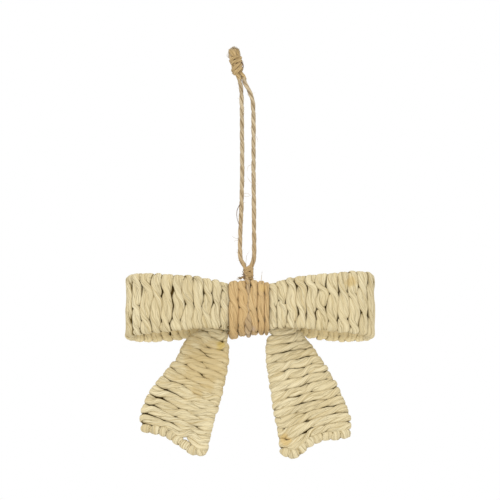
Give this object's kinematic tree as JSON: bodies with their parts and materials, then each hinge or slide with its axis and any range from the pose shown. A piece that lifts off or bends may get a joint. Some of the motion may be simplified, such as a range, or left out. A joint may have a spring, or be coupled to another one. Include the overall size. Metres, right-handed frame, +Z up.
{
  "type": "paper rope bow ornament",
  "caption": "Hanging bow of wound paper rope: looped bands, flared tails with rolled hems, a tan wrap at the middle and a twine loop to hang it by.",
  "frame": {"origin": "where a hook or nail holds the twine loop, just under its top knot", "axes": "+X to the right along the bow's width, +Y from the bow's face to its back, +Z up"},
  "size_m": [0.1238, 0.028, 0.2124],
  "materials": {
    "cream_rope": "matt twisted paper, pale straw",
    "tan_rope": "matt twisted paper, tan",
    "twine": "hairy two-ply jute"
  },
  "bodies": {
    "root": {"left_loop": "cream_rope", "right_loop": "cream_rope", "left_tail": "cream_rope", "right_tail": "cream_rope", "centre_wrap": "tan_rope", "hanger_tie": "twine", "lower_knot": "twine", "left_strand": "twine", "right_strand": "twine", "top_knot": "twine"}
  },
  "joints": []
}
